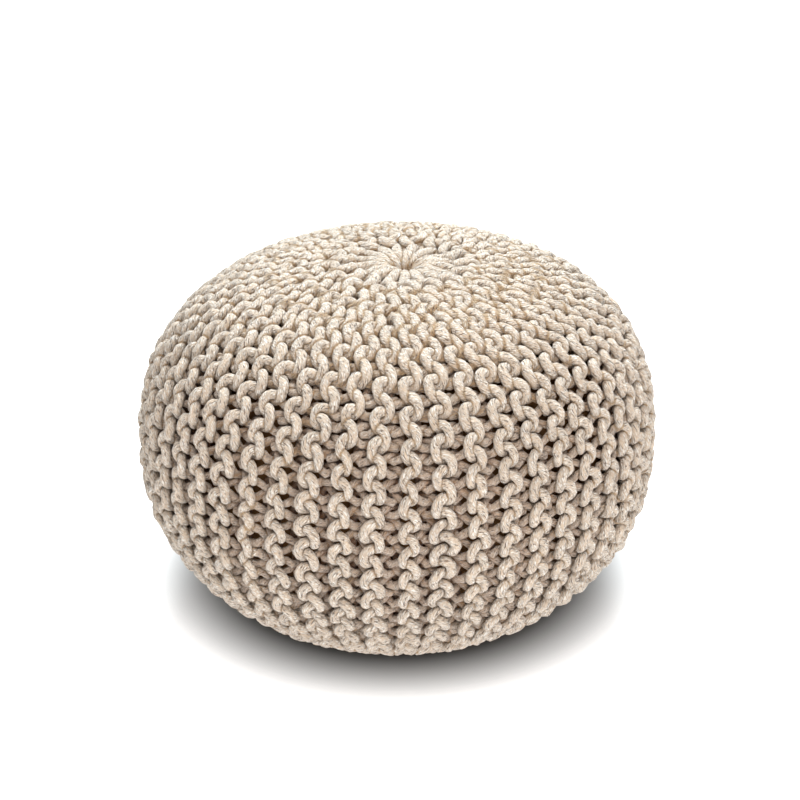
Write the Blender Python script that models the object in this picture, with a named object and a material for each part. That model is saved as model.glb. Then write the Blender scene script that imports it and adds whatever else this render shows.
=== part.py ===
# A round knitted pouf: one filled cushion with a cover knitted sideways in thick rope.
# The knitting gives raised ridges that run from the gather on top, over the widest
# part, to the gather underneath. Metres, +Z up, origin on the floor under the middle.
import math

import bmesh
import bpy

# Driving dimensions.
DIAMETER = 0.500  # across the widest ring, over the ridges
DEPTH_LESS = 0.004  # how much less it measures front to back, because it isn't quite round
HEIGHT = 0.370  # to the crown's ring, beside the gather
WIDEST_HEIGHT = 0.183  # of the widest ring, above the floor
PRESSED_FLAT = 0.010  # how far the round underside is squashed by its own weight
TOP_LEAN = 0.008  # how far the gather on top has slipped towards +X

# Fullness of each half's curve: 2 is an ellipse, and more is squarer.
TOP_FULL_ACROSS, TOP_FULL_UP = 2.58, 2.59
UNDER_FULL_ACROSS, UNDER_FULL_UP = 2.04, 2.08

# The knitting.
WEDGES = 17  # groups of rows, each with one ridge that reaches the gather
RIDGES_PER_WEDGE = 3
RIDGES = WEDGES * RIDGES_PER_WEDGE
RIDGE_DEPTH = 0.009  # from a ridge's crest to the valley beside it
GATHER_RIDGE_DEPTH = 0.004  # the same, where the ridges meet at the gather
SHORT_ROWS_END = 0.055  # radius inside which only one ridge of each wedge goes on
FULL_ROWS_START = 0.105  # radius outside which every ridge stands alone
FIRST_CREST = math.radians(2.4)  # turn of the crest nearest the front, from -Y towards +X

# The gather, where the cover is drawn together on top.
GATHER_DEPTH = 0.008
GATHER_RADIUS = 0.030

# How finely the shape is cut up.
POINTS_PER_RIDGE = 4
RINGS = 24
RING_SPREAD = 1.12  # over 1, rings lie closer together near the top
CURVE_STEPS = 240  # steps in which each half of the meridian is measured

COLLECTION_NAME = "knitted_pouf"
NODE_NAME = "pouf_knit"
ROPE_COLOUR = (0.72, 0.64, 0.53, 1.0)
ROPE_ROUGHNESS = 0.92


def smooth_step(value, low, high):
    share = min(1.0, max(0.0, (value - low) / (high - low)))
    return share * share * (3.0 - 2.0 * share)


def meridian():
    """(radius, height) points of the plain outline, from the top down to the floor's flat spot."""
    radius = DIAMETER / 2
    quarter = [math.pi / 2 * step / CURVE_STEPS for step in range(CURVE_STEPS + 1)]
    points = []
    for angle in reversed(quarter):
        across = max(0.0, math.cos(angle)) ** (2 / TOP_FULL_ACROSS)
        up = math.sin(angle) ** (2 / TOP_FULL_UP)
        points.append((radius * across, WIDEST_HEIGHT + (HEIGHT - WIDEST_HEIGHT) * up))
    for angle in quarter[1:]:
        across = max(0.0, math.cos(angle)) ** (2 / UNDER_FULL_ACROSS)
        down = math.sin(angle) ** (2 / UNDER_FULL_UP)
        points.append((radius * across, WIDEST_HEIGHT - (WIDEST_HEIGHT + PRESSED_FLAT) * down))
        if points[-1][1] <= 0.0:
            break
    return points


def spaced_rings(points):
    """(radius, height, outward radius, outward height) of each ring, spaced along the outline."""
    lengths = [0.0]
    for (r0, z0), (r1, z1) in zip(points, points[1:]):
        lengths.append(lengths[-1] + math.hypot(r1 - r0, z1 - z0))
    rings = []
    for ring in range(1, RINGS + 1):
        wanted = lengths[-1] * (ring / RINGS) ** RING_SPREAD
        last = max(i for i in range(len(points) - 1) if lengths[i] <= wanted)
        (r0, z0), (r1, z1) = points[last], points[last + 1]
        span = lengths[last + 1] - lengths[last]
        share = min(1.0, (wanted - lengths[last]) / span)
        outward = ((z0 - z1) / span, (r1 - r0) / span)
        rings.append((r0 + (r1 - r0) * share, z0 + (z1 - z0) * share, *outward))
    return rings


def ridge_drop(radius, height, turn):
    """How far the surface lies inside the crests' outline at this place."""
    alone = smooth_step(radius, SHORT_ROWS_END, FULL_ROWS_START)
    every_ridge = (1.0 - math.cos(RIDGES * turn)) / 2
    one_a_wedge = (1.0 - math.cos(WEDGES * turn)) / 2
    depth = GATHER_RIDGE_DEPTH + (RIDGE_DEPTH - GATHER_RIDGE_DEPTH) * alone
    off_floor = smooth_step(height, 0.0, RIDGE_DEPTH)
    return depth * off_floor * (alone * every_ridge + (1.0 - alone) * one_a_wedge)


def cover_point(ring, turn):
    """Place on the cover, turn radians round from the first crest."""
    radius, height, out_radius, out_height = ring
    drop = ridge_drop(radius, height, turn)
    dip = GATHER_DEPTH * math.exp(-((radius / GATHER_RADIUS) ** 2)) if height > WIDEST_HEIGHT else 0.0
    from_axis = radius - drop * out_radius
    z = max(0.0, height - drop * out_height - dip)
    above = max(0.0, (height - WIDEST_HEIGHT) / (HEIGHT - WIDEST_HEIGHT))
    azimuth = turn + FIRST_CREST
    x = from_axis * math.sin(azimuth) + TOP_LEAN * above ** 2
    y = -from_axis * math.cos(azimuth) * (1.0 - DEPTH_LESS / DIAMETER)
    return x, y, z


def knitted_body():
    """A ball of rings and ridges, moved point by point onto the pouf's own outline."""
    mesh = bmesh.new()
    around = RIDGES * POINTS_PER_RIDGE
    bmesh.ops.create_uvsphere(mesh, u_segments=around, v_segments=RINGS + 1, radius=1.0)
    rings = spaced_rings(meridian())
    for vert in mesh.verts:
        from_top = math.acos(max(-1.0, min(1.0, vert.co.z))) / math.pi
        ring = round(from_top * (RINGS + 1))
        if ring == 0:
            vert.co = (TOP_LEAN, 0.0, HEIGHT - GATHER_DEPTH)
        elif ring == RINGS + 1:
            vert.co = (0.0, 0.0, 0.0)
        else:
            step = round(math.atan2(vert.co.x, -vert.co.y) / math.tau * around)
            vert.co = cover_point(rings[ring - 1], math.tau * step / around)
    bmesh.ops.recalc_face_normals(mesh, faces=mesh.faces)
    return mesh


def rope_material():
    material = bpy.data.materials.new("cream_cotton_rope")
    material.use_nodes = True
    shader = material.node_tree.nodes["Principled BSDF"]
    shader.inputs["Base Color"].default_value = ROPE_COLOUR
    shader.inputs["Roughness"].default_value = ROPE_ROUGHNESS
    shader.inputs["Metallic"].default_value = 0.0
    return material


def main():
    for old in list(bpy.data.objects):
        bpy.data.objects.remove(old, do_unlink=True)
    collection = bpy.data.collections.new(COLLECTION_NAME)
    bpy.context.scene.collection.children.link(collection)
    shape = knitted_body()
    mesh = bpy.data.meshes.new(NODE_NAME)
    shape.to_mesh(mesh)
    shape.free()
    mesh.shade_smooth()
    mesh.materials.append(rope_material())
    collection.objects.link(bpy.data.objects.new(NODE_NAME, mesh))


main()
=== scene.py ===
import itertools
import math

import bpy
import numpy as np
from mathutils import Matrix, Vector


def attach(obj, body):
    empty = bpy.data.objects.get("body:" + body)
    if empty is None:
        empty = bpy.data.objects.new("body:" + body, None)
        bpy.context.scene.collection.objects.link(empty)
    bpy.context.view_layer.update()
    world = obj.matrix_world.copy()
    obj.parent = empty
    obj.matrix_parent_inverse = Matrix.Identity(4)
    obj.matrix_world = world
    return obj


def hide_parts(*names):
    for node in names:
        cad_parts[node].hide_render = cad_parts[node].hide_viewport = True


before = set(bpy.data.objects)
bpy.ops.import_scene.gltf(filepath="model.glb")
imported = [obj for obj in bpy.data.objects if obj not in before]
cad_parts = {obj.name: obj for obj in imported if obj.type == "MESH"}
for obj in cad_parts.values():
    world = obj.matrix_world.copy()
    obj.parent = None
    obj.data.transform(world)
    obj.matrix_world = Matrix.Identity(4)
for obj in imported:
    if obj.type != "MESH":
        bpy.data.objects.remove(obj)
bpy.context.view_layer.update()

# A round pouf: a knitted cover of thick cotton rope over a filled inner case.
# The cover is knitted sideways in garter stitch. Its rows run from the gather on top to an open
# ring underneath, and each pair of rows makes one ridge. Metres unless a note says otherwise.


# the pouf's outline, the same as the CAD solid's
outline = {
    "diameter": 0.500,  # across the widest ring, over the ridges
    "depthLess": 0.004,  # front to back it measures this much less
    "height": 0.370,  # to the crown's ring, beside the gather
    "widestHeight": 0.183,
    "pressedFlat": 0.010,  # how far its own weight squashes the underside
    "topLean": 0.008,  # how far the gather on top has slipped towards +X
    "topFullAcross": 2.58,  # fullness of the upper half: 2 is an ellipse, more is squarer
    "topFullUp": 2.59,
    "underFullAcross": 2.04,
    "underFullUp": 2.08,
    "gatherDepth": 0.008,
    "gatherRadius": 0.030,
    "softening": 0.010,  # width over which the outward direction is averaged
    "wedges": 17,
    "ridgesPerWedge": 3,
    "firstCrest": math.radians(2.4),  # turn of the front crest, from -Y towards +X
}
outline["ridges"] = outline["wedges"] * outline["ridgesPerWedge"]


def outlineCurve(steps=700, flatSteps=60):
    # radius and height of the crests' outline, from the top's middle to the underside's middle
    quarter = np.linspace(0.0, math.pi / 2, steps)
    radius = outline["diameter"] / 2
    wide = outline["widestHeight"]
    down = quarter[::-1]
    topR = radius * np.cos(down) ** (2 / outline["topFullAcross"])
    topZ = wide + (outline["height"] - wide) * np.sin(down) ** (2 / outline["topFullUp"])
    topR[0] = 0.0
    lowR = radius * np.clip(np.cos(quarter), 0, 1) ** (2 / outline["underFullAcross"])
    lowZ = wide - (wide + outline["pressedFlat"]) * np.sin(quarter) ** (2 / outline["underFullUp"])
    above = lowZ > 0.0
    edge = int(np.argmin(above))
    share = lowZ[edge - 1] / (lowZ[edge - 1] - lowZ[edge])
    rim = lowR[edge - 1] + (lowR[edge] - lowR[edge - 1]) * share
    flatR = np.linspace(rim, 0.0, flatSteps)
    r = np.concatenate([topR, lowR[1:edge], flatR])
    z = np.concatenate([topZ, lowZ[1:edge], np.zeros(len(flatR))])
    return r, z


def smoothed(values, width, mirrorStart, mirrorEnd):
    # Gaussian smoothing of evenly spaced samples; the ends mirror, with a sign
    reach = int(3 * width)
    kernel = np.exp(-0.5 * (np.arange(-reach, reach + 1) / width) ** 2)
    kernel /= kernel.sum()
    padded = np.concatenate([
        mirrorStart * values[1:reach + 1][::-1], values, mirrorEnd * values[-reach - 1:-1][::-1]
    ])
    return np.convolve(padded, kernel, mode="valid")


class Meridian:
    # the outline measured by the arc from the top's middle, with its outward direction
    samples = 1424  # about every half millimetre

    def __init__(self):
        r, z = outlineCurve()
        arc = np.concatenate([[0.0], np.cumsum(np.hypot(np.diff(r), np.diff(z)))])
        self.length = float(arc[-1])
        self.arc = np.linspace(0.0, self.length, self.samples)
        self.r = np.interp(self.arc, arc, r)
        self.z = np.interp(self.arc, arc, z)
        width = outline["softening"] / self.arc[1]
        dr = np.gradient(smoothed(self.r, width, -1, -1))
        dz = np.gradient(smoothed(self.z, width, 1, 1))
        size = np.hypot(dr, dz)
        self.outR, self.outZ = -dz / size, dr / size
        self.dip = np.where(
            self.z > outline["widestHeight"],
            outline["gatherDepth"] * np.exp(-((self.r / outline["gatherRadius"]) ** 2)), 0.0,
        )

    def at(self, arc):
        tables = (self.r, self.z, self.outR, self.outZ, self.dip)
        return [np.interp(arc, self.arc, table) for table in tables]


meridian = Meridian()


def leanAt(height):
    # how far the middle lies towards +X at this height
    above = (height - outline["widestHeight"]) / (outline["height"] - outline["widestHeight"])
    return outline["topLean"] * np.clip(above, 0, 1) ** 2


def placeOn(arc, azimuth, outward):
    # a point at this arc and turn, so far out from the crests' outline (negative is inside)
    r, z, outR, outZ, dip = meridian.at(arc)
    r = r + outward * outR
    z = z + outward * outZ - dip
    x = r * np.sin(azimuth) + leanAt(z)
    y = -r * np.cos(azimuth) * (1 - outline["depthLess"] / outline["diameter"])
    return np.stack([x, y, z], axis=-1)


# one stitch of garter knitting, settled by contact; its lengths are millimetres
stitch = {
    "pitchAtWidest": 24.3,  # along the row, on the crests' outline
    "pitchPower": 0.80,  # the pitch grows as the cover narrows: pitch * (widest / radius) ** power
    "pitchMost": 31.0,
    "radiusLeast": 20.0,  # inside which the pitch no longer grows
    "pitchInside": 0.96,  # the pitch in the middle of the cover, as a share of that on the outline
    "insideOutline": 13.5,  # from the outline to the middle of the cover
    "contact": 4.6,  # between centre lines where ropes press together
    "halfThickness": 4.0,  # that a centre line may leave the middle of the cover
    "ridgeShare": 0.38,  # most that a ridge's half width takes of the ridge spacing
    "loopFrom": 0.15,  # the share of its depth from which a rope counts as lying on a ridge
    "loopBlend": 0.5,
    # the stitch is settled at these radii of the outline, and what follows has a value for each
    "radii": (250.0, 205.0, 165.0, 130.0, 105.0),
    "ropeLengths": (85.0, 78.0, 72.0, 67.0, 63.0),  # rope in one stitch
    "ridgeHalves": (5.8, 6.0, 5.8, 5.2, 4.8),  # from a ridge's middle to its centre lines
    "leads": (1.7, 1.5, 1.1, 0.6, 0.3),  # points by which a loop stands out sooner than if it lay level
    "leans": (0.0, 0.22, 0.44, 0.48, 0.42),  # ridge spacings by which a loop slants in one stitch
    "depthScales": (2.25, 1.75, 1.25, 1.05, 1.0),  # depth in the cover, as a share of the settled one
}

settling = {  # lengths here are millimetres too
    "points": 32,  # along one stitch
    "startSwing": 4.2,  # how far the loops of the first, rough stitch bulge along the row
    "startReach": 4.5,  # how far they reach into the next row
    "startDepth": 1.2,  # their depth, in contact widths
    "firstSteps": 1000,
    "firstContact": 0.5,  # share of the contact width that the ropes start with
    "againSteps": 350,  # for every radius after the first
    "againContact": 0.9,
    "stretchShare": 0.7,  # share of the steps in which the rope takes its length
    "pull": 0.45,  # shares of each correction that are made in one step
    "push": 0.12,
    "bend": 0.02,
    "mostMove": 0.25,  # in one step
    "ownRope": 1.5,  # contact widths of rope within which a rope doesn't push itself
}


def pitchAt(radius):
    # millimetres along a row between stitches, at this radius in millimetres
    widest = outline["diameter"] * 500
    radius = np.maximum(radius, stitch["radiusLeast"])
    pitch = stitch["pitchAtWidest"] * (widest / radius) ** stitch["pitchPower"]
    return np.minimum(stitch["pitchMost"], pitch)


def startStitch(pitch, ridge):
    # two rows of points, each (along the row, across the rows, outward): the first row's rope comes
    # forward as it goes across, and the second's goes back
    turn = 2 * np.pi * np.arange(settling["points"]) / settling["points"]
    along = pitch * turn / (2 * np.pi) + settling["startSwing"] * np.sin(2 * turn)
    wave = np.cos(turn)
    reach = ridge / 4 + settling["startReach"]
    depth = settling["startDepth"] * stitch["contact"] * np.sign(wave) * np.abs(wave) ** 2
    back = np.stack([along, -reach * wave, -depth], axis=1)
    front = np.stack([along, ridge / 2 - reach * wave, depth], axis=1)
    return np.stack([back, front])


def settleStitch(cell, pitch, ridge, ropeLength, steps, startContact):
    # relaxes the repeating stitch: rope keeps its length, stays smooth and doesn't pass through rope
    count = settling["points"]
    index = np.arange(count)
    shifts = list(itertools.product((-1, 0, 1), repeat=2))
    cell = cell.copy()
    closed = np.concatenate([cell, cell[:, :1] + [pitch, 0, 0]], axis=1)
    length0 = np.linalg.norm(np.diff(closed, axis=1), axis=2).sum(1).mean()
    for step in range(steps):
        contact = stitch["contact"] * (startContact + (1 - startContact) * min(1, 2 * step / steps))
        stretched = min(1, step / (settling["stretchShare"] * steps))
        rest = (length0 + (ropeLength - length0) * stretched) / count
        skip = math.ceil(settling["ownRope"] * contact / rest)
        after = np.roll(cell, -1, axis=1)
        after[:, -1, 0] += pitch
        before = np.roll(cell, 1, axis=1)
        before[:, 0, 0] -= pitch
        edge = after - cell
        size = np.linalg.norm(edge, axis=2, keepdims=True)
        pull = edge * (1 - rest / size) * settling["pull"]
        move = pull - np.roll(pull, 1, axis=1)
        kink = (after + before) / 2 - cell
        move += settling["bend"] * (kink - (np.roll(kink, -1, axis=1) + np.roll(kink, 1, axis=1)) / 2)
        flat = cell.reshape(-1, 3)
        push = np.zeros_like(flat)
        for i, k in shifts:
            apart = flat[:, None] - (flat + [i * pitch, k * ridge, 0])[None]
            distance = np.linalg.norm(apart, axis=2)
            near = distance < contact
            if k == 0:
                own = np.abs(index[:, None] - (index[None] + i * count)) <= skip
                for row in range(2):
                    part = slice(row * count, (row + 1) * count)
                    near[part, part] &= ~own
            gain = np.where(near, (contact - distance) / np.maximum(distance, 1e-6), 0)
            push += (apart * gain[..., None]).sum(1) * settling["push"]
        move += push.reshape(cell.shape)
        size = np.linalg.norm(move, axis=2, keepdims=True)
        cell += move * np.minimum(1, settling["mostMove"] / np.maximum(size, 1e-9))
        cell[..., 2] = np.clip(cell[..., 2], -stitch["halfThickness"], stitch["halfThickness"])
    return cell


def hungShape(shape, ridge, half, lead, lean):
    # gives the settled stitch the ridge's width, the slant of its loops and the way they hang
    shape = shape.copy()
    out = shape[..., 2] / np.abs(shape[..., 2]).max()
    # how far a point lies from the middle of its ridge, and how fully it is on the ridge's loops
    away = shape[..., 1] - np.where(out > 0, 0.25, -0.25)
    away -= np.round(away)
    share = np.clip((np.abs(out) - stitch["loopFrom"]) / stitch["loopBlend"], 0, 1)
    widest = np.abs(away[share > 0.9]).max() * ridge
    half = min(half, stitch["ridgeShare"] * ridge)
    shape[..., 1] += (half / widest - 1) * share * away
    loop = np.where(out > 0, share, 0)
    middle = (loop * np.exp(2j * np.pi * shape[..., 0])).sum(1, keepdims=True)
    offset = shape[..., 0] - np.angle(middle) / (2 * np.pi)
    shape[..., 1] += lean * loop * (offset - np.round(offset))
    # the cover's weight tips each loop, so that its upper end stands out and its lower end tucks in
    count = settling["points"]
    index = np.arange(count + 1)
    for row in shape:
        wave = np.append(row[:, 2], row[0, 2])
        row[:, 2] = np.interp((index[:-1] + lead) % count, index, wave)
    return shape


def stitchFamily():
    # settled stitches for each ridge spacing, in shares of pitch and ridge, outward in metres
    spacings, shapes = [], []
    cell = None
    columns = [stitch[key] for key in ("radii", "ropeLengths", "ridgeHalves", "leads", "leans")]
    for radius, ropeLength, half, lead, lean in zip(*columns):
        ridge = 2 * np.pi * (radius - stitch["insideOutline"]) / outline["ridges"]
        pitch = float(pitchAt(radius)) * stitch["pitchInside"]
        if cell is None:
            cell = startStitch(pitch, ridge)
            steps, contact = settling["firstSteps"], settling["firstContact"]
        else:
            cell = cell * [pitch / pitch0, ridge / ridge0, 1]
            steps, contact = settling["againSteps"], settling["againContact"]
        cell = settleStitch(cell, pitch, ridge, ropeLength, steps, contact)
        pitch0, ridge0 = pitch, ridge
        shapes.append(hungShape(cell / [pitch, ridge, 1000], ridge, half, lead, lean))
        spacings.append(ridge / 1000)
        print("stitch settled at radius", radius, "pitch", round(pitch, 1), "ridge", round(ridge, 1))
    order = np.argsort(spacings)
    return np.array(spacings)[order], np.array(shapes)[order]


# the knitted cover, hung on the outline row by row
cover = {
    "ropeRadius": 0.0043,  # at the widest ring, where the cover is stretched most
    "ropeSwell": (1.0, 1.03, 1.16, 1.25, 1.26),  # its thickness at the stitch's radii, as a share
    "legThin": 0.80,  # a rope's thickness deep in the cover, as a share of that on a ridge
    "thinFrom": 0.005,  # depth inside the outline where it starts to thin
    "thinWithin": 0.010,
    "sag": 0.10,  # how far the ridges hang down for each metre they stand out
    "sagFrom": 0.10,  # height from which they do, fully from twice as high
    "shortRows": (0, 1, 2),  # stitches that each ridge of a wedge stops short of the longest
    "closing": 0.030,  # arc over which a wedge's other ridges close up past a short one
    "closingLead": 0.75,  # how much of that arc lies past the short one's end
    "seed": 11,
}

unevenness = {  # deviations of the hand knitting
    "loopWidth": 0.07,  # as a share
    "loopShift": 0.035,  # in stitches, each loop on its own
    "rowDrift": 0.05,  # in stitches, changing slowly
    "rowSway": 0.035,  # in ridge spacings, changing slowly
    "loopFullness": 0.10,  # as a share
    "fullnessRange": (0.75, 1.15),
    "slowLoops": 2,  # loops over which the slow ones change
}

rowTurn = {  # where the rope turns into its next row, except at the gather
    "steps": 9,  # into which the turn is cut
    "reach": 0.010,  # past the last stitch
    "roundness": 0.7,  # lower is squarer
    "standOut": 0.003,
}

gather = {  # on top, the two strands of each long row's last loop, drawn in one over the other
    "strandArc": 0.050,  # arc that the strands take up, and that the ring underneath leaves open
    "arcs": (0.040, 0.030, 0.021, 0.0135, 0.009),
    "upper": (0.0050, 0.0075, 0.0080, 0.0050, -0.0020),  # heights above the middle of the cover
    "lower": (-0.0010, -0.0035, -0.0065, -0.0100, -0.0145),
    "upperTurn": (-0.81, -0.55, -0.34, -0.25, -0.25),  # from the crest, in half ridges
    "lowerTurn": 1.0,
    "inward": 0.0025,
    "turnUneven": 0.16,  # deviations: of the turn in half ridges, of the arc as a share, of the height
    "arcUneven": 0.08,
    "heightUneven": 0.0008,
}


def depthAt(radius):
    # how many times deeper than settled the stitches are, at this radius of the pouf
    return np.interp(radius * 1000, stitch["radii"][::-1], stitch["depthScales"][::-1])


def ropeAt(radius):
    # the rope's own radius, at this radius of the pouf
    swell = np.interp(radius * 1000, stitch["radii"][::-1], cover["ropeSwell"][::-1])
    return cover["ropeRadius"] * swell


def middleAt(arc):
    # how far out from the crests' outline the middle of the cover lies; always inside it
    radius = meridian.at(arc)[0]
    return -(stitch["halfThickness"] * depthAt(radius) / 1000 + ropeAt(radius))


def ridgeShares(arc):
    # width of each of a wedge's ridges where some have stopped, as shares of the wedge
    shares = [np.ones_like(arc)]
    for stop in rowEnds[1:]:
        fromEnd = np.minimum(arc - stop, meridian.length - stop - arc)
        t = np.clip(fromEnd / cover["closing"] + cover["closingLead"], 0, 1)
        shares.append(t * t * (3 - 2 * t))
    shares = np.stack(shares)
    return shares / shares.sum(0)


def stitchesAlong(samples=2000):
    # how many stitches fit between the gather's strands and the ring underneath
    start = gather["strandArc"]
    arc = np.linspace(start, meridian.length - start, samples)
    radius = meridian.at(arc)[0] * 1000
    density = 1000 / pitchAt(radius)
    total = np.concatenate([[0], np.cumsum((density[1:] + density[:-1]) / 2 * np.diff(arc))])
    count = round(total[-1] - 0.5)
    # rows start and end half way up a leg, a quarter into the first and the last stitch
    return count, arc, total * (count + 0.5) / total[-1] + 0.25


stitchCount, stitchArc, stitchAt = stitchesAlong()
print("stitches in the longest row", stitchCount, "outline", round(meridian.length, 4))


def arcOf(along):
    # the arc at this many stitches along a row
    return np.interp(along, stitchAt, stitchArc)


rowEnds = [float(arcOf(0.25 + short)) for short in cover["shortRows"]]


def slowNoise(random, count, width):
    # smooth random values with a deviation near 1
    raw = random.standard_normal(count + 8 * width)
    kernel = np.exp(-0.5 * (np.arange(-3 * width, 3 * width + 1) / width) ** 2)
    kernel /= np.sqrt((kernel ** 2).sum())
    return np.convolve(raw, kernel, mode="same")[4 * width:4 * width + count]


def rowPoints(family, ridgeIndex, side, random):
    # centre line of one row of one ridge, top to bottom: stitches along, ridges across, outward
    spacings, shapes = family
    member = ridgeIndex % outline["ridgesPerWedge"]
    short = cover["shortRows"][member]
    count = settling["points"]
    first = int((short + 0.25) * count)
    last = int((stitchCount - short + 0.75) * count)
    steps = np.arange(first, last + 1)
    within = steps % count
    arcHere = arcOf(steps / count)
    radius = meridian.at(arcHere)[0] + middleAt(arcHere)
    spacing = 2 * np.pi * radius / outline["wedges"] * ridgeShares(arcHere)[member]
    level = np.interp(spacing, spacings, np.arange(len(spacings)))
    lower = np.minimum(level.astype(int), len(spacings) - 2)
    mix = np.clip(level - lower, 0, 1)[:, None]
    local = shapes[lower, side, within] * (1 - mix) + shapes[lower + 1, side, within] * mix
    along = local[:, 0] + steps // count
    across = local[:, 1]
    outward = local[:, 2] * depthAt(meridian.at(arcHere)[0])
    # hand-made unevenness: each loop a little longer, wider or fuller than the next
    loops = stitchCount + 3
    grow = 1 + unevenness["loopWidth"] * random.standard_normal(loops)
    shift = unevenness["loopShift"] * random.standard_normal(loops)
    drift = unevenness["rowDrift"] * slowNoise(random, loops, unevenness["slowLoops"])
    sway = unevenness["rowSway"] * slowNoise(random, loops, unevenness["slowLoops"])
    full = unevenness["loopFullness"] * random.standard_normal(loops)
    at = np.clip(along + 0.5, 0, loops - 1.001)  # stays just inside the last loop
    nodes = np.arange(loops)
    centre = 0.5 * side
    across = centre + (across - centre) * np.interp(at, nodes, grow) + np.interp(at, nodes, sway)
    along = along + np.interp(at, nodes, shift) + np.interp(at, nodes, drift)
    fullness = 1 + np.interp(at * 2 % loops, nodes, full)
    outward = outward * np.clip(fullness, *unevenness["fullnessRange"])
    return along, across, outward


def azimuthOf(arc, ridgeIndex, across):
    # turn of a point so many ridge widths across from the ridge's own start
    perWedge = outline["ridgesPerWedge"]
    shares = ridgeShares(arc)
    # the ridge's crest lies a quarter ridge past the start of its first row
    place = ridgeIndex % perWedge + across - 0.25
    wedge = np.floor(place / perWedge + 0.5 / perWedge)
    inside = place - wedge * perWedge + 0.5
    edges = np.concatenate([np.zeros((1, len(arc))), np.cumsum(shares, axis=0)])
    slot = np.clip(np.floor(inside).astype(int), 0, perWedge - 1)
    column = np.arange(len(arc))
    turn = edges[slot, column] + (inside - slot) * shares[slot, column]
    turn = turn - shares[0] / 2
    whole = ridgeIndex // perWedge + wedge
    return outline["firstCrest"] + 2 * np.pi / outline["wedges"] * (whole + turn)


def inPlace(ridgeIndex, along, across, outward):
    # points in space from stitches along, ridges across and outward
    arc = arcOf(along)
    over = np.minimum(along - stitchAt[0], 0) + np.maximum(along - stitchAt[-1], 0)
    arc = arc + over * stitch["pitchMost"] / 1000
    height, steep = meridian.at(arc)[1:3]
    low = np.clip((height - cover["sagFrom"]) / cover["sagFrom"], 0, 1)
    arc = arc + cover["sag"] * np.clip(steep, 0, 1) ** 2 * low * outward
    azimuth = azimuthOf(arc, ridgeIndex, across)
    return placeOn(arc, azimuth, outward + middleAt(arc))


def turnPoints(start, end, top):
    # centre line of the turn between two rows, given in (along, across, outward)
    share = np.arange(1, rowTurn["steps"])[:, None] / rowTurn["steps"]
    bulge = np.sin(np.pi * share[:, 0])
    reach = rowTurn["reach"] * 1000 / stitch["pitchMost"]
    points = start + (end - start) * share
    points[:, 0] += (-1 if top else 1) * reach * bulge ** rowTurn["roundness"]
    points[:, 2] += rowTurn["standOut"] * bulge
    return points


def gatherLoop(ridgeIndex, random):
    # the last loop of a long row, as two strands, in to the gather and out again
    arcs = np.array(gather["arcs"])
    crest = outline["firstCrest"] + 2 * np.pi * (ridgeIndex // outline["ridgesPerWedge"]) / outline["wedges"]
    half = np.pi / outline["wedges"] * 0.5
    strands = []
    for level in ("upper", "lower"):
        wobble = random.standard_normal() + random.standard_normal(len(arcs))
        turn = crest + half * (np.array(gather[level + "Turn"]) + gather["turnUneven"] * wobble)
        arc = arcs * (1 + gather["arcUneven"] * random.standard_normal())
        lift = gather["heightUneven"] * (random.standard_normal() + random.standard_normal(len(arcs)))
        outward = np.array(gather[level]) + lift + middleAt(arc) - gather["inward"]
        strands.append(placeOn(arc, turn, outward))
    return np.concatenate([strands[0], strands[1][::-1]])


def wedgeRope(family, wedge, random):
    # the rope of one wedge: up and down six rows, with its turns
    rows = []
    for member in range(outline["ridgesPerWedge"]):
        ridgeIndex = wedge * outline["ridgesPerWedge"] + member
        for side in range(2):
            points = np.stack(rowPoints(family, ridgeIndex, side, random), axis=1)
            rows.append((ridgeIndex, member, points))
    pieces = []
    for number, (ridgeIndex, member, points) in enumerate(rows):
        row = inPlace(ridgeIndex, *points.T)
        up = number % 2 == 0
        pieces.append(row[::-1] if up else row)
        if number == len(rows) - 1:
            break
        if up and member == 0:
            pieces.append(gatherLoop(ridgeIndex, random))
            continue
        nextIndex, _, nextPoints = rows[number + 1]
        end = 0 if up else -1
        turn = turnPoints(points[end], nextPoints[end] + [0, nextIndex - ridgeIndex, 0], up)
        pieces.append(inPlace(ridgeIndex, *turn.T))
    return np.concatenate(pieces)


# the rope's surface
ropeForm = {
    "stepOnRidge": 0.0030,  # spacing of the rings of a rope's surface
    "stepInside": 0.0066,
    "insideFrom": 0.006,  # depth inside the outline where the wider spacing starts to come in
    "insideBlend": 0.008,
    "sides": 12,
    "plies": 3,
    "plyRelief": 0.045,
    "lay": 0.19,  # turns round the rope in one rope width of length
    "lumps": 0.034,  # unevenness of the surface and of the thickness, as shares of the radius
    "swelling": 0.04,
    "swellingRings": 5,  # rings over which the thickness changes
    "floorPress": 0.97,  # height of a centre line that lies on the floor, in rope radii
    "strips": 17,  # in the map that lays a rope's surface flat
    "stripMargin": 0.04,
}
ropeWidth = 2 * cover["ropeRadius"]


def smoothLine(points):
    # a cubic B-spline through the neighbourhood of the points, four samples a span
    before = np.concatenate([points[:1] * 2 - points[1:2], points, points[-1:] * 2 - points[-2:-1]])
    a, b, c, d = before[:-3], before[1:-2], before[2:-1], before[3:]
    samples = []
    for t in (0.0, 0.25, 0.5, 0.75):
        w0 = (1 - t) ** 3 / 6
        w1 = (3 * t ** 3 - 6 * t ** 2 + 4) / 6
        w2 = (-3 * t ** 3 + 3 * t ** 2 + 3 * t + 1) / 6
        w3 = t ** 3 / 6
        samples.append(w0 * a + w1 * b + w2 * c + w3 * d)
    return np.stack(samples, axis=1).reshape(-1, 3)


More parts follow.
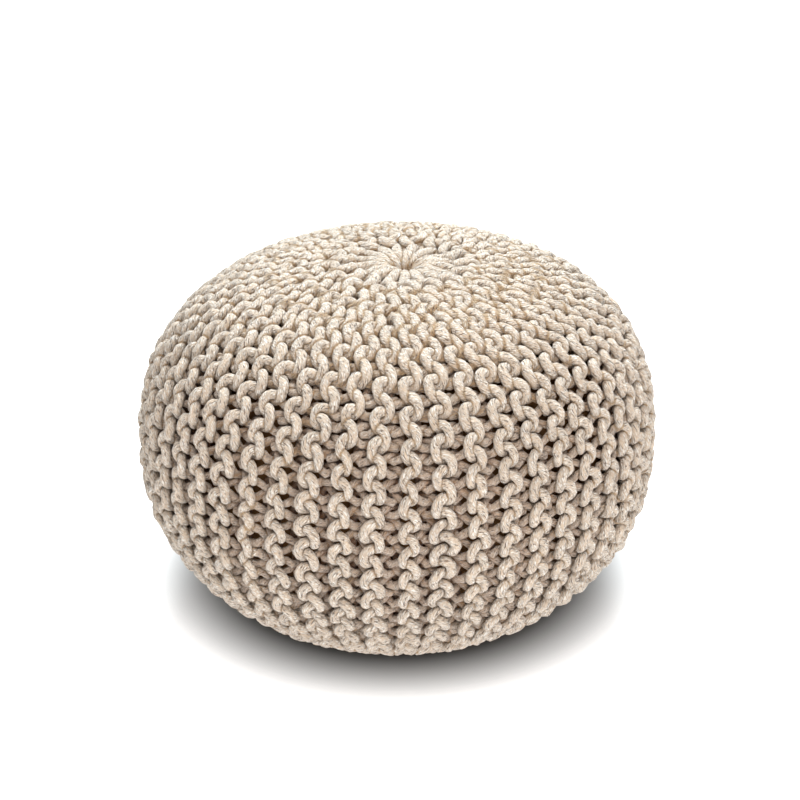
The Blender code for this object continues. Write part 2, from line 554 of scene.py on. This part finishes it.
def depthInCover(points, every=8, beside=0.004):
    # how far each point lies inside the crests' outline, from every so many samples of the outline
    x = points[:, 0] - leanAt(points[:, 2])
    y = points[:, 1] / (1 - outline["depthLess"] / outline["diameter"])
    radius, height = np.hypot(x, y), points[:, 2]
    best = np.full(len(points), 1.0)
    for sample in range(0, len(meridian.arc), every):
        r, z = meridian.r[sample], meridian.z[sample]
        outR, outZ = meridian.outR[sample], meridian.outZ[sample]
        gap = np.abs((r - radius) * outR + (z - height) * outZ - meridian.dip[sample])
        near = np.abs((radius - r) * outZ - (height - z) * outR) < beside
        best = np.where(near, np.minimum(best, gap), best)
    return best


def evenRings(points, depth):
    # rings closer together on the ridges than inside the cover
    size = np.concatenate([[0], np.cumsum(np.linalg.norm(np.diff(points, axis=0), axis=1))])
    share = np.clip((depth - ropeForm["insideFrom"]) / ropeForm["insideBlend"], 0, 1)
    spacing = ropeForm["stepOnRidge"] + (ropeForm["stepInside"] - ropeForm["stepOnRidge"]) * share
    rings = np.concatenate([[0], np.cumsum(np.diff(size) * 2 / (spacing[1:] + spacing[:-1]))])
    wanted = np.linspace(0, rings[-1], int(rings[-1]) + 1)
    picked = np.stack([np.interp(wanted, rings, points[:, axis]) for axis in range(3)], axis=1)
    return picked, np.interp(wanted, rings, size), np.interp(wanted, rings, depth)


def carriedFrames(points):
    # directions across the rope that don't spin along it, from one that no rope starts along
    tangent = np.gradient(points, axis=0)
    tangent /= np.linalg.norm(tangent, axis=1, keepdims=True)
    normal = np.zeros_like(points)
    start = np.cross(tangent[0], [0.3, 0.5, 0.8])
    normal[0] = start / np.linalg.norm(start)
    for i in range(1, len(points)):
        n = normal[i - 1] - tangent[i] * normal[i - 1].dot(tangent[i])
        normal[i] = n / np.linalg.norm(n)
    return tangent, normal, np.cross(tangent, normal)


def ropeSurface(points, random):
    # rings of surface points round the rope's centre line
    line = smoothLine(points)
    rings, length, depth = evenRings(line, depthInCover(line))
    rings[:, 2] = np.maximum(rings[:, 2], cover["ropeRadius"] * ropeForm["floorPress"])
    tangent, across, other = carriedFrames(rings)
    count, sides = len(rings), ropeForm["sides"]
    share = np.clip((depth - cover["thinFrom"]) / cover["thinWithin"], 0, 1)
    radius = ropeAt(np.hypot(rings[:, 0], rings[:, 1])) * (1 + (cover["legThin"] - 1) * share)
    radius = radius * (1 + ropeForm["swelling"] * slowNoise(random, count, ropeForm["swellingRings"]))
    lumps = random.standard_normal((count, sides))
    lumps = lumps + 0.5 * (np.roll(lumps, 1, axis=1) + np.roll(lumps, -1, axis=1))
    turn = 2 * np.pi * np.arange(sides) / sides
    # the rope's plies wind round it
    wound = ropeForm["plies"] * (turn + 2 * np.pi * ropeForm["lay"] * length[:, None] / ropeWidth)
    relief = ropeForm["lumps"] * lumps + ropeForm["plyRelief"] * np.cos(wound)
    radius = radius[:, None] * (1 + relief)
    ring = np.cos(turn)[None, :, None] * across[:, None] + np.sin(turn)[None, :, None] * other[:, None]
    surface = rings[:, None] + ring * radius[:, :, None]
    surface[..., 2] = np.maximum(surface[..., 2], 0.0)
    return {"rings": rings, "tangent": tangent, "radius": radius.mean(1), "surface": surface,
            "length": length, "depth": depth}


def nearnessOf(ropes, reach=0.0125, ownRings=4):
    # how far each surface point lies outside the nearest other stretch of rope, up to a reach
    joined = {key: np.concatenate([rope[key] for rope in ropes]).astype(np.float32)
              for key in ("rings", "tangent", "radius", "surface")}
    centres, surface = joined["rings"], joined["surface"]
    half = ropeForm["stepInside"] / 2
    # centres are found by the box that they lie in, counted from a corner far outside the pouf
    strides = np.array([1, 1000, 1000000])
    key = (np.floor(centres / reach).astype(np.int64) + 100) @ strides
    order = np.argsort(key, kind="stable")
    ordered = key[order]
    best = np.full(surface.shape[:2], reach, np.float32)
    for offset in itertools.product((-1, 0, 1), repeat=3):
        wanted = key + strides @ offset
        first = np.searchsorted(ordered, wanted, "left")
        size = np.searchsorted(ordered, wanted, "right") - first
        one = np.repeat(np.arange(len(key)), size)
        within = np.arange(len(one)) - np.repeat(np.cumsum(size) - size, size)
        other = order[within + np.repeat(first, size)]
        keep = np.abs(one - other) > ownRings
        keep &= np.linalg.norm(centres[one] - centres[other], axis=1) < reach
        one, other = one[keep], other[keep]
        if not len(one):
            continue
        tangent = joined["tangent"][other]
        apart = surface[one] - centres[other][:, None]
        along = np.einsum("psx,px->ps", apart, tangent).clip(-half, half)
        apart -= along[..., None] * tangent[:, None]
        gap = np.linalg.norm(apart, axis=2) - joined["radius"][other][:, None]
        start = np.flatnonzero(np.diff(one, prepend=-1))
        who = one[start]
        best[who] = np.minimum(best[who], np.minimum.reduceat(gap, start, axis=0))
    return np.split(best, np.cumsum([len(rope["rings"]) for rope in ropes])[:-1])


def quadMap(left, right, low, high):
    # the map's corners for each quad, in the order of its points
    corners = ((left, low), (left, high), (right, high), (right, low))
    return np.stack([np.stack(corner, axis=1) for corner in corners], axis=1).reshape(-1, 2)


def addMap(mesh, name, quads, startCap, endCap):
    caps = [np.tile(place, (ropeForm["sides"], 1)) for place in (startCap, endCap)]
    layer = mesh.uv_layers.new(name=name)
    layer.data.foreach_set("uv", np.concatenate([quads, *caps]).astype(np.float32).ravel())


def ropeMesh(name, rope, nearness):
    verts = rope["surface"].reshape(-1, 3)
    count, sides = rope["surface"].shape[:2]
    i = np.arange(count - 1)[:, None] * sides
    j = np.arange(sides)[None]
    k = (j + 1) % sides
    quads = np.stack([i + j, i + k, i + sides + k, i + sides + j], axis=-1).reshape(-1, 4)
    startCap = np.arange(sides)[::-1]
    endCap = (count - 1) * sides + np.arange(sides)
    loops = np.concatenate([quads.ravel(), startCap, endCap])
    starts = np.concatenate([np.arange(len(quads)) * 4, [len(quads) * 4, len(quads) * 4 + sides]])
    mesh = bpy.data.meshes.new(name)
    mesh.vertices.add(len(verts))
    mesh.vertices.foreach_set("co", verts.astype(np.float32).ravel())
    mesh.loops.add(len(loops))
    mesh.loops.foreach_set("vertex_index", loops.astype(np.int32))
    mesh.polygons.add(len(starts))
    mesh.polygons.foreach_set("loop_start", starts.astype(np.int32))
    mesh.update(calc_edges=True)
    # rope widths along it, and from 0 to 1 round it
    ringOf = np.repeat(np.arange(count - 1), sides)
    along = rope["length"] / ropeWidth
    low = np.tile(np.arange(sides) / sides, count - 1)
    high = low + 1 / sides
    wound = quadMap(along[ringOf], along[ringOf + 1], low, high)
    addMap(mesh, "ropeUv", wound, [along[0], 0.5], [along[-1], 0.5])
    # a second map without overlaps: the rope laid out in strips, one above the next
    perStrip = math.ceil((count - 1) / ropeForm["strips"])
    strip = ringOf // perStrip
    left = (ringOf - strip * perStrip) / perStrip
    margin = ropeForm["stripMargin"]
    low, high = [(strip + margin + (1 - 2 * margin) * edge) / ropeForm["strips"] for edge in (low, high)]
    flat = quadMap(left, left + 1 / perStrip, low, high)
    addMap(mesh, "OFBake", flat, flat[0], flat[-1])
    for layer, values in (("ropeDepth", np.repeat(rope["depth"], sides)), ("ropeNear", nearness.ravel())):
        made = mesh.attributes.new(layer, "FLOAT", "POINT")
        made.data.foreach_set("value", values.astype(np.float32))
    mesh.shade_smooth()
    mesh.validate()
    piece = bpy.data.objects.new(name, mesh)
    bpy.context.scene.collection.objects.link(piece)
    return piece


white = (1.0, 1.0, 1.0, 1.0)

ropeLook = {
    "light": (0.83, 0.788, 0.732, 1.0),
    "tanAndShade": (0.56, 0.385, 0.23, 1.0),  # painted shade between the tufts, and the tan that some whole tufts take at random
    "fleckAndPitShade": (0.13, 0.065, 0.03, 1.0),  # dark flecks and painted shade in the pits where the tufts part
    "deepShade": (0.42, 0.20, 0.068, 1.0),  # painted shade: what the colour is multiplied by deep in the cover
    "deepShadeFrom": (0.0085, 0.023),  # depths where that painted shade starts and is whole
    "contactShade": (0.60, 0.475, 0.32, 1.0),  # painted shade where two ropes meet
    "contactShadeWidth": 0.0014,
    "tufts": 16.0,  # short lengths of yarn seen round the rope
    "tuftLength": 2.7,  # of them in one rope width of length
    "tuftNoise": (0.9, 1.0),  # each noise's scale and detail
    "tuftShift": (1.2, 1.2, 1.2),  # how far it moves them
    "tuftEdge": 0.30,  # width of the dip between them
    "dipShade": 0.75,  # most painted shade in that dip, and most tan over a whole tuft
    "tuftTint": 0.35,
    "tintFrom": (0.55, 1.0),  # a tuft's own random value where its tan starts and is whole
    "pitWinding": (1.6, 2.4),  # size of a noise's ring: along one rope width, and its radius
    "pitNoise": (1.3, 2.0),
    "pitFrom": (0.55, 0.62),  # noise where the pits start and are whole
    "pitShade": 0.9,
    "fibreWinding": (1.2, 6.0),
    "fibreNoise": (2.0, 3.0, 0.6),  # and its roughness
    "fibreTint": 0.5,  # how far it makes the colour lighter or darker
    "cloudNoise": (18.0, 2.0),
    "cloudTint": 0.16,
    "fuzzNoise": (1100.0, 2.0),
    "roughness": 0.9,
    "specular": 0.15,
    "sheen": 0.36,
    "sheenRoughness": 0.6,
    "tuftHeight": 0.6,  # heights of the bumps, against 1 for the dip between tufts
    "fibreHeight": 0.8,
    "fuzzHeight": 0.3,
    "bump": 1.0,
    "bumpDepth": 0.0008,
}


def node(tree, kind, **values):
    made = tree.nodes.new(kind)
    for key, value in values.items():
        setattr(made, key, value)
    return made


def maths(tree, operation, a, b=None):
    made = node(tree, "ShaderNodeMath", operation=operation)
    for socket, value in zip(made.inputs, (a, b)):
        if value is None:
            continue
        if isinstance(value, (int, float)):
            socket.default_value = value
        else:
            tree.links.new(value, socket)
    return made.outputs[0]


def noiseOf(tree, vector, scale, detail, roughness=0.5, output="Fac"):
    made = node(tree, "ShaderNodeTexNoise")
    made.inputs["Scale"].default_value = scale
    made.inputs["Detail"].default_value = detail
    made.inputs["Roughness"].default_value = roughness
    tree.links.new(vector, made.inputs["Vector"])
    return made.outputs[output]


def cellsOf(tree, vector, feature):
    made = node(tree, "ShaderNodeTexVoronoi", feature=feature)
    made.inputs["Scale"].default_value = 1.0
    tree.links.new(vector, made.inputs["Vector"])
    return made.outputs


def spread(tree, value, low, high):
    # 0 at low, 1 at high, clamped
    made = node(tree, "ShaderNodeMapRange")
    made.inputs["From Min"].default_value = low
    made.inputs["From Max"].default_value = high
    tree.links.new(value, made.inputs["Value"])
    return made.outputs[0]


def blendColour(tree, share, first, second):
    made = node(tree, "ShaderNodeMix", data_type="RGBA")
    tree.links.new(share, made.inputs[0])
    for socket, value in ((made.inputs[6], first), (made.inputs[7], second)):
        if isinstance(value, tuple):
            socket.default_value = value
        else:
            tree.links.new(value, socket)
    return made.outputs[2]


def timesColour(tree, first, second):
    made = node(tree, "ShaderNodeMix", data_type="RGBA", blend_type="MULTIPLY")
    made.inputs[0].default_value = 1.0
    tree.links.new(first, made.inputs[6])
    tree.links.new(second, made.inputs[7])
    return made.outputs[2]


def windingPlace(tree, along, around, alongScale, aroundScale):
    # a point on a ring that follows the yarns' winding, so that noise joins up round the rope
    turned = maths(tree, "ADD", around, maths(tree, "MULTIPLY", along, ropeForm["lay"]))
    angle = maths(tree, "MULTIPLY", turned, 2 * math.pi)
    place = node(tree, "ShaderNodeCombineXYZ")
    tree.links.new(maths(tree, "MULTIPLY", along, alongScale), place.inputs[0])
    tree.links.new(maths(tree, "MULTIPLY", maths(tree, "COSINE", angle), aroundScale), place.inputs[1])
    tree.links.new(maths(tree, "MULTIPLY", maths(tree, "SINE", angle), aroundScale), place.inputs[2])
    return place.outputs[0]


def clothMaterial(name, look):
    material = bpy.data.materials.new(name)
    material.use_nodes = True
    shader = material.node_tree.nodes["Principled BSDF"]
    shader.inputs["Roughness"].default_value = look["roughness"]
    shader.inputs["Specular IOR Level"].default_value = look["specular"]
    return material, material.node_tree, shader


def colourAndBump(tree, shader, look, colour, value, height):
    # the cloth's colour, made lighter and darker by a value, and its relief
    vary = node(tree, "ShaderNodeHueSaturation")
    if isinstance(colour, tuple):
        vary.inputs["Color"].default_value = colour
    else:
        tree.links.new(colour, vary.inputs["Color"])
    tree.links.new(value, vary.inputs["Value"])
    tree.links.new(vary.outputs[0], shader.inputs["Base Color"])
    bump = node(tree, "ShaderNodeBump")
    bump.inputs["Strength"].default_value = look["bump"]
    bump.inputs["Distance"].default_value = look["bumpDepth"]
    tree.links.new(height, bump.inputs["Height"])
    tree.links.new(bump.outputs[0], shader.inputs["Normal"])


def ropeMaterial():
    material, tree, shader = clothMaterial("creamCottonRope", ropeLook)
    shader.inputs["Sheen Weight"].default_value = ropeLook["sheen"]
    shader.inputs["Sheen Roughness"].default_value = ropeLook["sheenRoughness"]
    uv = node(tree, "ShaderNodeUVMap", uv_map="ropeUv")
    split = node(tree, "ShaderNodeSeparateXYZ")
    tree.links.new(uv.outputs[0], split.inputs[0])
    along, around = split.outputs[0], split.outputs[1]
    coords = node(tree, "ShaderNodeTexCoord").outputs["Object"]
    # the yarns show as short tufts, wound round the rope and packed unevenly
    ringRadius = ropeLook["tufts"] / (2 * math.pi)
    place = windingPlace(tree, along, around, ropeLook["tuftLength"], ringRadius)
    moved = node(tree, "ShaderNodeVectorMath", operation="MULTIPLY_ADD")
    tree.links.new(noiseOf(tree, place, *ropeLook["tuftNoise"], output="Color"), moved.inputs[0])
    moved.inputs[1].default_value = ropeLook["tuftShift"]
    tree.links.new(place, moved.inputs[2])
    own = node(tree, "ShaderNodeSeparateXYZ")
    tree.links.new(cellsOf(tree, moved.outputs[0], "F1")["Color"], own.inputs[0])
    toEdge = cellsOf(tree, moved.outputs[0], "DISTANCE_TO_EDGE")["Distance"]
    edge = spread(tree, toEdge, 0.0, ropeLook["tuftEdge"])
    between = maths(tree, "SUBTRACT", 1.0, edge)
    fibres = windingPlace(tree, along, around, *ropeLook["fibreWinding"])
    fibres = noiseOf(tree, fibres, *ropeLook["fibreNoise"])
    pits = windingPlace(tree, along, around, *ropeLook["pitWinding"])
    pits = noiseOf(tree, pits, *ropeLook["pitNoise"])
    clouds = noiseOf(tree, coords, *ropeLook["cloudNoise"])
    fuzz = noiseOf(tree, coords, *ropeLook["fuzzNoise"])
    # colour: cream, with painted shade between the tufts, some whole tufts tan at random, and dark flecks
    # with painted shade in the pits where they part
    creaseShade = maths(tree, "MULTIPLY", between, ropeLook["dipShade"])
    colour = blendColour(tree, creaseShade, ropeLook["light"], ropeLook["tanAndShade"])
    tint = spread(tree, own.outputs[0], *ropeLook["tintFrom"])
    tint = maths(tree, "MULTIPLY", tint, ropeLook["tuftTint"])
    colour = blendColour(tree, tint, colour, ropeLook["tanAndShade"])
    # dark flecks and painted shade in the pits between the tufts
    pit = maths(tree, "MULTIPLY", between, spread(tree, pits, *ropeLook["pitFrom"]))
    colour = blendColour(tree, maths(tree, "MULTIPLY", pit, ropeLook["pitShade"]), colour, ropeLook["fleckAndPitShade"])
    # painted shade: browner deep in the cover and where ropes meet
    depth = node(tree, "ShaderNodeAttribute", attribute_name="ropeDepth").outputs["Fac"]
    deepShadeShare = spread(tree, depth, *ropeLook["deepShadeFrom"])
    colour = timesColour(tree, colour, blendColour(tree, deepShadeShare, white, ropeLook["deepShade"]))
    # painted shade where ropes meet, from how near the other ropes lie
    near = node(tree, "ShaderNodeAttribute", attribute_name="ropeNear").outputs["Fac"]
    contactShadeShare = spread(tree, near, ropeLook["contactShadeWidth"], 0.0)
    colour = timesColour(tree, colour, blendColour(tree, contactShadeShare, white, ropeLook["contactShade"]))
    # lighter and darker in clouds and streaks; the noises lie round one half
    cloudy = maths(tree, "MULTIPLY", clouds, ropeLook["cloudTint"])
    level = maths(tree, "ADD", cloudy, 1 - ropeLook["cloudTint"] / 2)
    streaks = maths(tree, "MULTIPLY", maths(tree, "SUBTRACT", fibres, 0.5), ropeLook["fibreTint"])
    level = maths(tree, "ADD", level, streaks)
    height = maths(tree, "SUBTRACT", edge, pit)
    for part, rise in ((own.outputs[1], "tuftHeight"), (fibres, "fibreHeight"), (fuzz, "fuzzHeight")):
        height = maths(tree, "ADD", height, maths(tree, "MULTIPLY", part, ropeLook[rise]))
    colourAndBump(tree, shader, ropeLook, colour, level, height)
    return material


# the inner case's cloth and form; the cloth's colour is the case's own brown, painted darker for the shade
# in the gaps between the ropes
caseLook = {
    "colour": (0.26, 0.135, 0.055, 1.0),
    "roughness": 0.95,
    "specular": 0.15,
    "weaveNoise": (500.0, 2.0),  # scale and detail
    "weaveTint": 0.3,
    "bump": 0.3,
    "bumpDepth": 0.0005,
    "inside": 0.0035,  # clear of the knitting's inner face
    "pressedIn": 0.3,  # but for so much of a rope's radius, by which the knitting sinks in
    "rings": 90,
    "around": 120,
}


def caseMaterial():
    material, tree, shader = clothMaterial("caseClothWithGapShade", caseLook)
    coords = node(tree, "ShaderNodeTexCoord").outputs["Object"]
    weave = noiseOf(tree, coords, *caseLook["weaveNoise"])
    tinted = maths(tree, "MULTIPLY", weave, caseLook["weaveTint"])
    level = maths(tree, "ADD", tinted, 1 - caseLook["weaveTint"] / 2)
    colourAndBump(tree, shader, caseLook, caseLook["colour"], level, weave)
    return material


def innerCase():
    # the filled case, a plain ball of the outline's form just inside the knitting
    around = caseLook["around"]
    turn = 2 * np.pi * np.arange(around) / around

    def inside(arc, turn):
        inward = 2 * middleAt(arc) + cover["ropeRadius"] * caseLook["pressedIn"] - caseLook["inside"]
        return placeOn(arc, turn, inward)

    arcs = np.linspace(0.0, meridian.length, caseLook["rings"])[1:-1]
    middles = [inside(np.array([arc]), np.zeros(1)) for arc in (0.0, meridian.length)]
    verts = np.concatenate([*(inside(np.full(around, arc), turn) for arc in arcs), *middles])
    faces = []
    for ring in range(len(arcs) - 1):
        for s in range(around):
            a, b = ring * around + s, ring * around + (s + 1) % around
            faces.append((a, a + around, b + around, b))
    top, low = len(verts) - 2, len(verts) - 1
    final = (len(arcs) - 1) * around
    for s in range(around):
        faces.append((top, s, (s + 1) % around))
        faces.append((low, final + (s + 1) % around, final + s))
    mesh = bpy.data.meshes.new("inner_case")
    mesh.from_pydata([tuple(v) for v in verts], [], faces)
    mesh.shade_smooth()
    piece = bpy.data.objects.new("inner_case", mesh)
    bpy.context.scene.collection.objects.link(piece)
    return piece


# the glowing table with a painted shadow round the pouf's foot, the panels of light and the white world
# around them
stage = {
    "floorHalf": 6.0,
    "floorColour": (0.50, 0.50, 0.50, 1.0),
    "floorRoughness": 0.9,
    "floorGlow": 0.92,  # the table glows evenly, except in a painted shadow round the pouf's foot
    "shadowCentre": (0.0, 0.073, 0.0),
    # the painted shadow's dark colour
    "shadowColour": (0.10, 0.10, 0.10, 1.0),
    "shadowFadeFrom": 0.182,  # distance from the painted shadow's centre where the table's glow and pale colour start, and where they are whole
    "shadowFadeTo": 0.266,
    "glowPower": 1.5,
    "worldStrength": 0.38,
    "panels": (  # name, watts, colour, place
        ("backPanel", 88.0, (0.875, 0.967, 1.0), (0.08, 1.1, 2.1)),
        ("frontPanel", 24.0, (1.0, 0.935, 0.87), (0.08, -1.2, 2.0)),
        ("lowPanel", 22.0, (1.0, 0.935, 0.87), (0.55, -2.1, 0.5)),
    ),
    "panelSize": 1.2,
    "panelAim": (0.0, 0.0, 0.2),
}


def floorMaterial():
    material = bpy.data.materials.new("tableWithPaintedShadow")
    material.use_nodes = True
    tree = material.node_tree
    shader = tree.nodes["Principled BSDF"]
    shader.inputs["Roughness"].default_value = stage["floorRoughness"]
    shader.inputs["Emission Color"].default_value = white
    # painted shadow: near the pouf's foot the glow fades out and the base colour darkens
    coords = node(tree, "ShaderNodeTexCoord").outputs["Object"]
    away = node(tree, "ShaderNodeVectorMath", operation="DISTANCE")
    tree.links.new(coords, away.inputs[0])
    away.inputs[1].default_value = stage["shadowCentre"]
    lit = spread(tree, away.outputs["Value"], stage["shadowFadeFrom"], stage["shadowFadeTo"])
    glow = maths(tree, "MULTIPLY", maths(tree, "POWER", lit, stage["glowPower"]), stage["floorGlow"])
    tree.links.new(glow, shader.inputs["Emission Strength"])
    colour = blendColour(tree, lit, stage["shadowColour"], stage["floorColour"])
    tree.links.new(colour, shader.inputs["Base Color"])
    return material


def buildStage():
    half = stage["floorHalf"]
    corners = [(-half, -half, 0), (half, -half, 0), (half, half, 0), (-half, half, 0)]
    mesh = bpy.data.meshes.new("studioFloor")
    mesh.from_pydata(corners, [], [(0, 1, 2, 3)])
    mesh.materials.append(floorMaterial())
    floor = bpy.data.objects.new("studioFloor", mesh)
    bpy.context.scene.collection.objects.link(floor)
    world = bpy.data.worlds.new("softStudio")
    world.use_nodes = True
    back = world.node_tree.nodes["Background"]
    back.inputs[0].default_value = white
    back.inputs[1].default_value = stage["worldStrength"]
    bpy.context.scene.world = world
    bpy.context.scene.view_settings.view_transform = "Standard"
    for name, watts, colour, place in stage["panels"]:
        light = bpy.data.lights.new(name, "AREA")
        light.size = stage["panelSize"]
        light.energy = watts
        light.color = colour
        panel = bpy.data.objects.new(name, light)
        panel.location = place
        aim = Vector(stage["panelAim"]) - panel.location
        panel.rotation_euler = aim.to_track_quat("-Z", "Y").to_euler()
        bpy.context.scene.collection.objects.link(panel)


view = {
    "target": (0.003, 0.0, 0.2209),
    "distance": 1.8,
    "elevation": math.radians(26.6),
    "lens": 83.57,  # millimetres, as the sensor is
    "sensor": 36.0,
}


def buildCamera():
    camera = bpy.data.cameras.new("camera")
    camera.lens = view["lens"]
    camera.sensor_width = view["sensor"]
    camera.dof.use_dof = False
    eye = bpy.data.objects.new("camera", camera)
    target = Vector(view["target"])
    back = Vector((0, -math.cos(view["elevation"]), math.sin(view["elevation"])))
    eye.location = target + back * view["distance"]
    eye.rotation_euler = (-back).to_track_quat("-Z", "Y").to_euler()
    bpy.context.scene.collection.objects.link(eye)
    bpy.context.scene.camera = eye


def main():
    buildCamera()
    buildStage()
    print("camera, table and panels in place")
    family = stitchFamily()
    random = np.random.default_rng(cover["seed"])
    ropes = [ropeSurface(wedgeRope(family, wedge, random), random) for wedge in range(outline["wedges"])]
    print("ropes laid, rings", sum(len(made["rings"]) for made in ropes))
    nearness = nearnessOf(ropes)
    print("crevices found")
    rope = ropeMaterial()
    triangles = 0
    for wedge, (made, near) in enumerate(zip(ropes, nearness)):
        piece = ropeMesh(f"knit_wedge_{wedge + 1:02d}", made, near)
        piece.data.materials.append(rope)
        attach(piece, "root")
        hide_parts("pouf_knit")
        triangles += 2 * len(piece.data.polygons)
    print("knitted cover made, triangles about", triangles)
    case = innerCase()
    case.data.materials.append(caseMaterial())
    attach(case, "root")
    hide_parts("pouf_knit")
    print("inner case made")


main()
